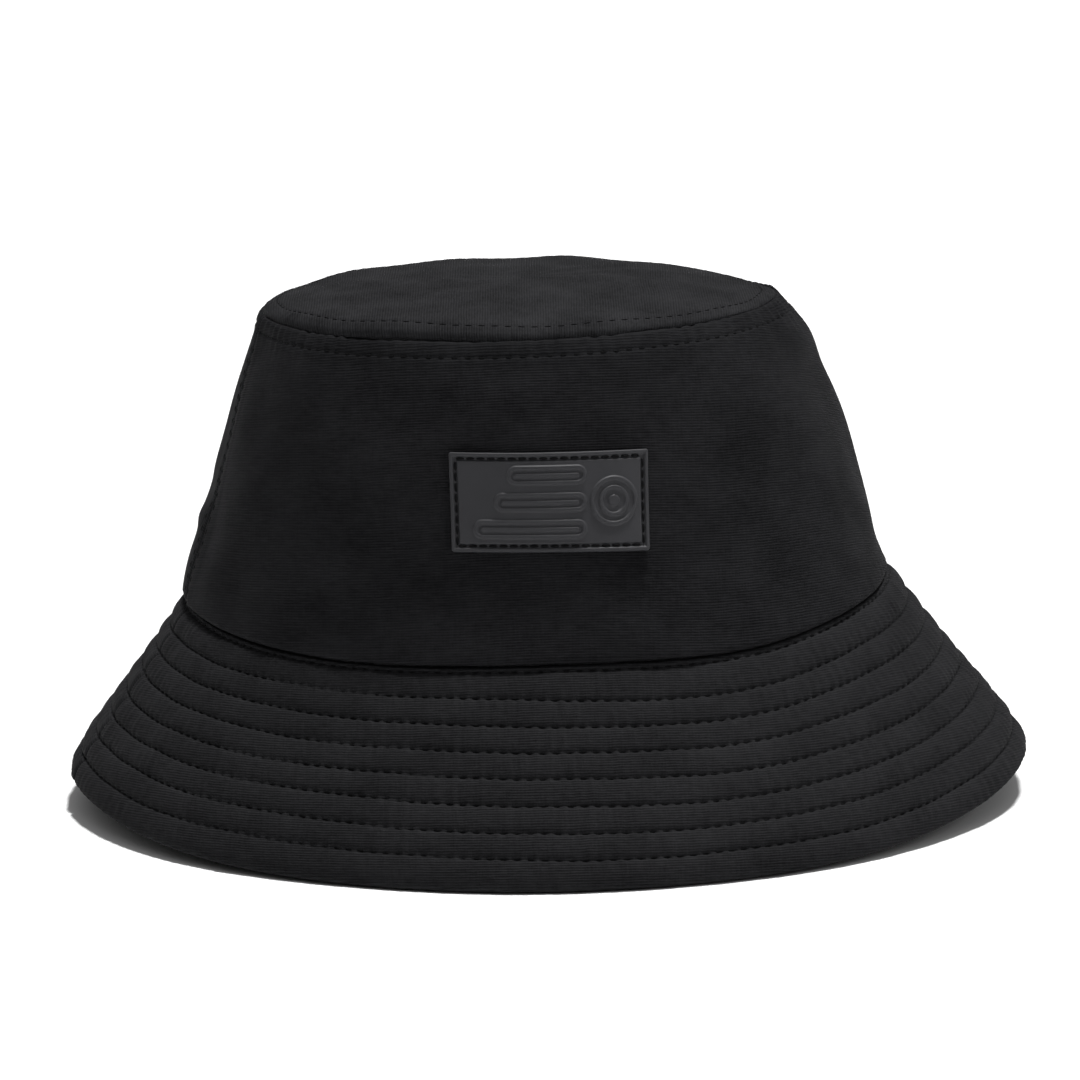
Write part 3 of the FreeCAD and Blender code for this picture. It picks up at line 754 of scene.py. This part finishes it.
def make_seam_tapes():
    def tape_height(az, s):
        seam_ridge = 0.35 * np.exp(-(side_seam_gap(az, 85) / 1.2) ** 2)
        return wall_height(az, s) - SHELL_THICK - 0.08 + seam_ridge

    for side, centre in (("left", LEFT_SEAM), ("right", RIGHT_SEAM)):
        reach = [(s, 0.0, 1.0) for s in levels(1.5, WALL_WIDTH - 5.5, 1.2)]
        back = [(s, -0.45, 1.0) for s, _, _ in reach]
        half = TAPE_WIDTH / 2 / SEAM_RADIUS
        az = turns(centre - half, centre + half, 0.6, SEAM_RADIUS)
        piece = lay_cloth(f"seam_tape_{side}", wall, az, reach, back, tape_height,
                          strip_pattern(SEAM_RADIUS))
        finish_piece(piece, "seam_tape", [f"side_seam_tape_{side}"], between=TAPE_BEND)

    # One tape folded over the tip seam: a ring whose section follows the tip, the seam and the wall
    radius = TIP_RADIUS
    count = 420
    az = np.linspace(0, FULL_TURN, count + 1)[:-1][:, None]
    under_tip = np.array([radius - 6.3, radius - 5, radius - 3.6, radius - 2.4])[None, :]
    down_wall = (WALL_WIDTH - np.array([1.8, 3.2, 4.6, 6.0]))[None, :]
    layers = []
    for depth in (0.1, 0.55):
        top = lifted(tip, az + 0 * under_tip, under_tip + 0 * az,
                     tip_height(az, under_tip) - SHELL_THICK - depth)
        low = lifted(wall, az + 0 * down_wall, down_wall + 0 * az,
                     wall_height(az, down_wall) - SHELL_THICK - depth)
        layers.append(np.concatenate([top, low], axis=1))
    section = np.concatenate([layers[0], layers[1][:, ::-1]], axis=1)
    ways = np.concatenate([np.linspace(0, TIP_TAPE_WIDTH, 8), np.linspace(TIP_TAPE_WIDTH, 0, 8)])
    uv = np.stack(np.broadcast_arrays(az * radius, ways[None, :]), axis=-1)
    piece = make_object("tip_tape", section.reshape(-1, 3), grid_faces(count, 16, True, False),
                        uv.reshape(-1, 2))
    finish_piece(piece, "seam_tape", ["tip_seam_tape"], body="crown_top")


# ---------------------------------------------------------------- brim

def make_brim_cloth():
    lines = [0.0] + [EDGE_STITCH_LINE] + ROW_LINES
    bend = BRIM_WIDTH - PLY_FACE
    flat_part = levels(-1.2, bend, 0.75, lines, 1.3, 0.34)
    under_part = levels(0.0, BRIM_WIDTH - 1.5, 0.8, lines, 1.3, 0.4)
    for half, start, end, centre, spacing in HALVES:
        az = turns(start, end, spacing, 112)
        pattern = cone_pattern(centre, SEAM_RADIUS, BRIM_SHARE, 1, 0.37)
        top = lay_brim_top(f"brim_top_{half}_cloth", az, flat_part, bend, pattern)
        finish_piece(top, "brim_fabric", [f"brim_top_{half}"], between=BRIM_BEND)
        az = turns(start, end, spacing * 1.15, 112)
        face = [(s, 0.0, 1.0) for s in under_part]
        back = [(s, PLY_THICK, 1.0) for s in under_part]
        under = lay_cloth(f"brim_under_{half}_cloth", brim, az, face, back, brim_under_height, pattern)
        finish_piece(under, "brim_fabric", [f"brim_under_{half}"], between=BRIM_BEND)


def lay_brim_top(name, az, flat_part, bend, pattern):
    """The top cloth of the brim, which wraps round the edge to the underside."""
    turn_angles = np.radians(np.linspace(80, -82, 11))
    s_face = np.array(flat_part + [bend + (BRIM_WIDTH - bend) * math.cos(a) for a in turn_angles])
    s_back = np.array([max(s, 0.7) for s in flat_part]
                      + [bend + (BRIM_WIDTH - bend - PLY_THICK) * math.cos(a) for a in turn_angles])
    count = len(flat_part)
    turn = np.asarray(az)[:, None]
    flat_s = s_face[None, :count]
    rise = brim_top_height(turn + 0 * flat_s, flat_s + 0 * turn)
    at_bend = brim_top_height(turn, np.full((1, 1), bend) + 0 * turn)
    over = np.clip(np.sin(turn_angles), 0, 1)[None, :]
    under = np.clip(np.sin(turn_angles), -1, 0)[None, :]
    face_h = np.concatenate([rise, at_bend * over + (PLY_FACE + EDGE_LAP) * under], axis=1)
    back_h = np.concatenate([rise - PLY_THICK, (at_bend - PLY_THICK) * over
                             + (PLY_FACE + EDGE_LAP - PLY_THICK) * under], axis=1)
    s_all = np.concatenate([s_face, s_back[::-1]])[None, :] + 0 * turn
    h_all = np.concatenate([face_h, back_h[:, ::-1]], axis=1)
    points = lifted(brim, turn + 0 * s_all, s_all, h_all)
    way = np.concatenate([np.array(flat_part), bend + (math.radians(80) - turn_angles) * 1.1])
    way = np.concatenate([way, way[::-1]])[None, :] + 0 * turn
    uv = pattern(turn + 0 * way, way)
    faces = grid_faces(len(az), s_all.shape[1], False, True)
    return make_object(name, points.reshape(-1, 3), faces, uv.reshape(-1, 2))


def make_interlining():
    def core(az, s):
        return 0.36 - 0.16 * np.clip(-brim_relief(az, s, 0.0, 1.0, 0.0), 0, 1)

    reach = levels(2.8, BRIM_WIDTH - 2.8, 1.5, ROW_LINES, 1.2, 0.6)
    for half, start, end, centre, _ in HALVES:
        az = turns(start + 0.004, end - 0.004, 3.0, 112)
        pattern = cone_pattern(centre, SEAM_RADIUS, BRIM_SHARE, 1, 1.0)
        profile = [(s, 1.0) for s in reach] + [(s, -1.0) for s in reversed(reach)]
        s = np.array([p[0] for p in profile])[None, :]
        side = np.array([p[1] for p in profile])[None, :]
        turn = az[:, None]
        points = lifted(brim, turn + 0 * s, s + 0 * turn, side * core(turn, s))
        uv = pattern(turn + 0 * s, s + 0 * turn)
        piece = make_object(f"interlining_{half}", points.reshape(-1, 3),
                            grid_faces(len(az), len(profile), False, True), uv.reshape(-1, 2))
        finish_piece(piece, "interlining", [f"brim_interlining_{half}"], between=BRIM_BEND)


def make_brim_stitching():
    for row, count, phase in brim_lines():
        line = EDGE_STITCH_LINE if row < 0 else ROW_LINES[row]
        radius = brim_radius(line)
        start = -phase / count
        path = ring_path(lambda az, row=row: row_line(row, az), radius, start, start + FULL_TURN)
        label = "edge" if row < 0 else f"row_{row + 1}"
        pitch = path[0] / count
        top = sew(f"{label}_face", brim, [path], brim_top_height, pitch=pitch)
        under = sew(f"{label}_back", brim, [path], brim_under_height, side=-1, pitch=pitch)
        replaced = "brim_edge_stitching" if row < 0 else f"brim_row_{row + 1}"
        finish_piece(join(f"brim_{label}_stitches", [top, under]), "thread", [replaced],
                     between=BRIM_BEND)
    seam = sew("brim_edge_seam_stitches", brim, [ring_path(lambda az: BRIM_WIDTH - 1.2, EDGE_RADIUS)],
               lambda az, s: 0.0 * az, pitch=2.6, radius=0.15, fill=0.9)
    finish_piece(seam, "thread", ["brim_edge_seam_thread"], between=BRIM_BEND)


# ---------------------------------------------------------------- inside

def make_sweatband():
    back_seam = math.pi
    inner_face = -2.9

    def band(az, s):
        wave = 0.18 * soft_bumps(az, s, 41, 8, (6, 24), 40)
        fold = 0.35 * np.exp(-((s - 27.2) / 0.7) ** 2) + 0.3 * np.exp(-((s - 2.2) / 0.8) ** 2)
        overlap = 0.5 * np.exp(-(((az % FULL_TURN) - back_seam) * 90 / 2.4) ** 4)
        return inner_face - wave - 0.25 * fold - overlap

    reach = levels(0.8, 28.0, 0.9, [1.5, 27.4], 1.4, 0.35)
    face = [(s, 0.0, 1.0) for s in reach]
    back = [(s, 0.75, 1.0) for s in reach]
    az = turns(-back_seam + 0.0015, back_seam - 0.0015, 1.3, SEAM_RADIUS)
    piece = lay_cloth("sweatband_cloth", wall, az, face, back, band, strip_pattern(SEAM_RADIUS - 3))
    finish_piece(piece, "sweatband", ["sweatband"], between=BAND_BEND)

    paths = []
    for inset in (-1.6, 1.6):
        paths.append((24.0, lambda way, inset=inset: (back_seam + inset / 90 + 0 * way, 2.6 + way)))
    stitches = sew("join_stitches", wall, paths, band, side=-1, pitch=2.4)
    finish_piece(stitches, "thread", ["sweatband_join_stitching"], between=BAND_BEND)


def make_seam_threads():
    """The two seams that join the crown to the brim and to the tip, on the inside."""
    crown_line = WALL_START + 0.6
    stitches = sew("crown_seam_stitches", wall, [ring_path(lambda az: crown_line, SEAM_RADIUS)],
                   lambda az, s: wall_height(az, s) - SHELL_THICK - 0.5, side=-1)
    finish_piece(stitches, "thread", ["crown_seam_thread"], body="hat")
    tip_line = TIP_RADIUS - 1.6
    stitches = sew("tip_seam_stitches", tip, [ring_path(lambda az: tip_line, tip_line)],
                   lambda az, s: tip_height(az, s) - SHELL_THICK - 0.5, side=-1)
    finish_piece(stitches, "thread", ["tip_seam_thread"], body="crown_top")


def make_care_label():
    low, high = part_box("care_label")
    joint = next(j for j in frame["joints"] if j["name"] == "care_label_flap")
    foot = np.array(joint["pos_m"]) / MM
    up = -np.array(joint["axis"], float)
    up /= np.linalg.norm(up)
    centre = (np.array(low) + np.array(high)) / 2 / MM
    away = centre - foot
    away -= up * away.dot(up)
    away /= np.linalg.norm(away)
    face = np.cross(away, up)
    long_side, tall, thick = LABEL_LONG, LABEL_TALL, 0.3
    columns, rows = 46, 20
    points = []
    uv = []
    for side in (0, 1):
        for i in range(columns):
            for j in range(rows):
                a = i / (columns - 1)
                b = j / (rows - 1)
                curl = 0.25 * math.sin(math.pi * a) + 0.15 * math.sin(5 * a + 3 * b)
                place = (foot + away * (a * long_side) + up * (0.2 + b * (tall - 0.4))
                         + face * (0.05 - curl * 0.5 + side * thick))
                points.append(place)
                uv.append((a * long_side, b * tall))
    faces = []
    for side in (0, 1):
        base = side * columns * rows
        for i in range(columns - 1):
            for j in range(rows - 1):
                a = base + i * rows + j
                quad = [a, a + rows, a + rows + 1, a + 1]
                faces.append(quad if side else quad[::-1])
    other = columns * rows
    for i in range(columns - 1):
        for j in (0, rows - 1):
            a = i * rows + j
            quad = [a, a + rows, a + rows + other, a + other]
            faces.append(quad if j == 0 else quad[::-1])
    for j in range(rows - 1):
        for i in (0, columns - 1):
            a = i * rows + j
            quad = [a, a + 1, a + 1 + other, a + other]
            faces.append(quad[::-1] if i == 0 else quad)
    piece = make_object("care_label_cloth", points, faces, uv)
    finish_piece(piece, "label", ["care_label"], body="care_label")


# ---------------------------------------------------------------- patch

PATCH_WIDE = 51.5
PATCH_TALL = 25.4
PATCH_FOOT = 28.8
PATCH_TURN = math.radians(3.5)
PATCH_LEAN = 0.055
PATCH_TILT = -0.025
PATCH_CORNER = 0.7
PATCH_GAP = 0.12           # the patch stands this much off the plain wall
GROOVE_LINE = 1.55
GROOVE_HALF = 0.5


def rounded_gap(u, v, wide, tall, corner):
    """Distance inwards from the outline of a rounded rectangle centred on the origin."""
    x = np.abs(u) - (wide / 2 - corner)
    y = np.abs(v) - (tall / 2 - corner)
    outside = np.hypot(np.clip(x, 0, None), np.clip(y, 0, None))
    inside = np.minimum(np.maximum(x, y), 0)
    return corner - outside - inside


def step_up(distance, soft=0.16):
    t = np.clip(distance / soft * 0.5 + 0.5, 0, 1)
    return t * t * (3 - 2 * t)


def patch_mark(u, v):
    """Plain generic relief: three rounded outlines and two rings round a disc."""
    mark = np.zeros(np.broadcast(u, v).shape)
    for level, left, right in ((6.9, -11.0, 9.3), (0.0, -14.5, 9.3), (-6.9, -20.0, 9.3)):
        middle = (left + right) / 2
        gap = rounded_gap(u - middle, v - level, right - left, 5.0, 2.4)
        mark = np.maximum(mark, step_up(0.5 - np.abs(gap - 0.6), 0.22))
        mark = np.maximum(mark, step_up(gap - 2.0, 0.22))
    radius = np.hypot(u - 16.4, v)
    for outline in (5.7, 3.4):
        mark = np.maximum(mark, step_up(0.5 - np.abs(radius - outline), 0.22))
    mark = np.maximum(mark, step_up(1.5 - radius, 0.22))
    return mark


def patch_height(u, v):
    gap = rounded_gap(u, v, PATCH_WIDE, PATCH_TALL, PATCH_CORNER)
    fillet = 0.35
    edge = np.clip(gap / fillet, 0, 1)
    height = 1.5 - fillet * (1 - np.sqrt(1 - (1 - edge) ** 2))
    outer = step_up(gap - GROOVE_LINE + GROOVE_HALF, 0.25)
    channel = outer * step_up(GROOVE_LINE + GROOVE_HALF - gap, 0.25)
    height = height - 0.55 * channel - 0.1 * step_up(gap - GROOVE_LINE, 0.25)
    return height + 0.42 * patch_mark(u, v)


def patch_place(u, v):
    """Azimuth and s on the wall of a point of the patch, given from the patch's middle."""
    s = PATCH_FOOT + PATCH_TALL / 2 + v + PATCH_TILT * u
    return PATCH_TURN + (u + PATCH_LEAN * v) / (wall_radius(s) + 2.3), s


def make_patch():
    columns, rows = 330, 168
    u = np.linspace(-PATCH_WIDE / 2, PATCH_WIDE / 2, columns)[:, None] + np.zeros((1, rows))
    v = np.linspace(-PATCH_TALL / 2, PATCH_TALL / 2, rows)[None, :] + np.zeros((columns, 1))
    # Corners: the square grid is pulled onto the rounded outline
    x = np.abs(u) - (PATCH_WIDE / 2 - PATCH_CORNER)
    y = np.abs(v) - (PATCH_TALL / 2 - PATCH_CORNER)
    in_corner = (x > 0) & (y > 0)
    reach = np.maximum(np.hypot(x, y), 1e-9)
    pull = np.where(in_corner, np.maximum(x, y) / reach, 1.0)
    u = np.where(in_corner, np.sign(u) * (PATCH_WIDE / 2 - PATCH_CORNER + x * pull), u)
    v = np.where(in_corner, np.sign(v) * (PATCH_TALL / 2 - PATCH_CORNER + y * pull), v)
    az, s = patch_place(u, v)
    face = lifted(wall, az, s, PATCH_GAP + patch_height(u, v))
    back = lifted(wall, az, s, np.full(u.shape, 0.15))
    points = np.concatenate([face.reshape(-1, 3), back.reshape(-1, 3)])
    uv = np.stack([u, v], axis=-1).reshape(-1, 2)
    uv = np.concatenate([uv, uv])
    index = np.arange(columns * rows).reshape(columns, rows)
    front = np.stack([index[:-1, :-1], index[1:, :-1], index[1:, 1:], index[:-1, 1:]], -1)
    front = front.reshape(-1, 4)
    rear = front[:, ::-1] + columns * rows
    rim = np.concatenate([index[:, 0], index[-1, 1:], index[::-1, -1][1:], index[0, ::-1][1:-1]])
    after = np.roll(rim, -1)
    sides = np.stack([rim, rim + columns * rows, after + columns * rows, after], -1)
    faces = np.concatenate([front, rear, sides]).tolist()
    piece = make_object("patch_rubber_face", points, faces, uv)
    finish_piece(piece, "patch_rubber", ["rubber_patch"], body="hat")

    half_u = PATCH_WIDE / 2 - GROOVE_LINE
    half_v = PATCH_TALL / 2 - GROOVE_LINE
    paths = []
    for sign in (-1, 1):
        def along(way, sign=sign):
            return patch_place(way - half_u + 1.3, sign * half_v + 0 * way)

        def upright(way, sign=sign):
            return patch_place(sign * half_u + 0 * way, way - half_v + 1.3)

        paths.append((2 * half_u - 0.6, along))
        paths.append((2 * half_v - 0.6, upright))

    def groove_floor(az, _):
        return PATCH_GAP + 1.05 + 0 * az

    stitches = sew("patch_stitches", wall, paths, groove_floor, pitch=2.7, radius=0.22, fill=0.86)
    finish_piece(stitches, "thread", ["patch_stitching"], body="hat")


# ---------------------------------------------------------------- studio

SKY_OVERHEAD = 0.36
SKY_HORIZON = 0.12
CAMERA_ELEVATION = math.radians(10.55)
CAMERA_DISTANCE = 2.0
CAMERA_LENS = 250.2
CAMERA_ROLL = math.radians(1.05)
CAMERA_AIM = (-0.00123, 0.0, 0.06695)


def area_light(name, place, aim, wide, tall, power):
    light = bpy.data.lights.new(name, "AREA")
    light.shape = "RECTANGLE"
    light.size = wide
    light.size_y = tall
    light.energy = power
    lamp = bpy.data.objects.new(name, light)
    lamp.location = place
    direction = np.array(aim, float) - np.array(place, float)
    lamp.rotation_euler = Vector(direction).to_track_quat("-Z", "Y").to_euler()
    bpy.context.scene.collection.objects.link(lamp)


def make_studio():
    scene = bpy.context.scene
    world = bpy.data.worlds.new("studio")
    world.use_nodes = True
    sky = world.node_tree
    sky.nodes["Background"].inputs["Color"].default_value = (1, 1, 1, 1)
    direction = node(sky, "ShaderNodeTexCoord").outputs["Generated"]
    upward = node(sky, "ShaderNodeSeparateXYZ", {0: direction}).outputs["Z"]
    overhead = math_node(sky, "POWER", math_node(sky, "MAXIMUM", upward, 0.0), 2.0)
    glow = math_node(sky, "MULTIPLY_ADD", overhead, SKY_OVERHEAD, SKY_HORIZON)
    sky.links.new(glow, sky.nodes["Background"].inputs["Strength"])
    scene.world = world

    floor_mesh = bpy.data.meshes.new("floor")
    half = 6.0
    floor_mesh.from_pydata([(-half, -half, 0), (half, -half, 0), (half, half, 0), (-half, half, 0)], [],
                           [(0, 1, 2, 3)])
    floor = bpy.data.objects.new("floor", floor_mesh)
    scene.collection.objects.link(floor)
    material, _, shader = graph("studio_floor")
    shader.inputs["Base Color"].default_value = (0.86, 0.86, 0.86, 1)
    shader.inputs["Roughness"].default_value = 0.9
    floor.data.materials.append(material)

    key = bpy.data.lights.new("key_light", "SUN")
    key.energy = 4.0
    key.angle = math.radians(8)
    lamp = bpy.data.objects.new("key_light", key)
    lamp.rotation_euler = Vector((0.15, 0.20, 1.0)).to_track_quat("Z", "Y").to_euler()
    scene.collection.objects.link(lamp)
    area_light("right_softbox", (1.3, -0.6, 0.7), (0, 0, 0.08), 0.8, 0.9, 3)

    camera_data = bpy.data.cameras.new("camera")
    camera_data.lens = CAMERA_LENS
    camera_data.sensor_width = 36
    camera_data.clip_end = 50
    camera = bpy.data.objects.new("camera", camera_data)
    aim = Vector(CAMERA_AIM)
    back = Vector((0, -math.cos(CAMERA_ELEVATION), math.sin(CAMERA_ELEVATION)))
    camera.location = aim + back * CAMERA_DISTANCE
    look = (-back).to_track_quat("-Z", "Y").to_matrix()
    camera.rotation_euler = (look @ Euler((0, 0, -CAMERA_ROLL)).to_matrix()).to_euler()
    scene.collection.objects.link(camera)
    scene.camera = camera
    scene.view_settings.view_transform = "Standard"


make_studio()
make_crown_wall()
make_tip()
make_crown_stitching()
make_seam_tapes()
make_brim_cloth()
make_interlining()
make_brim_stitching()
make_sweatband()
make_seam_threads()
make_care_label()
make_patch()
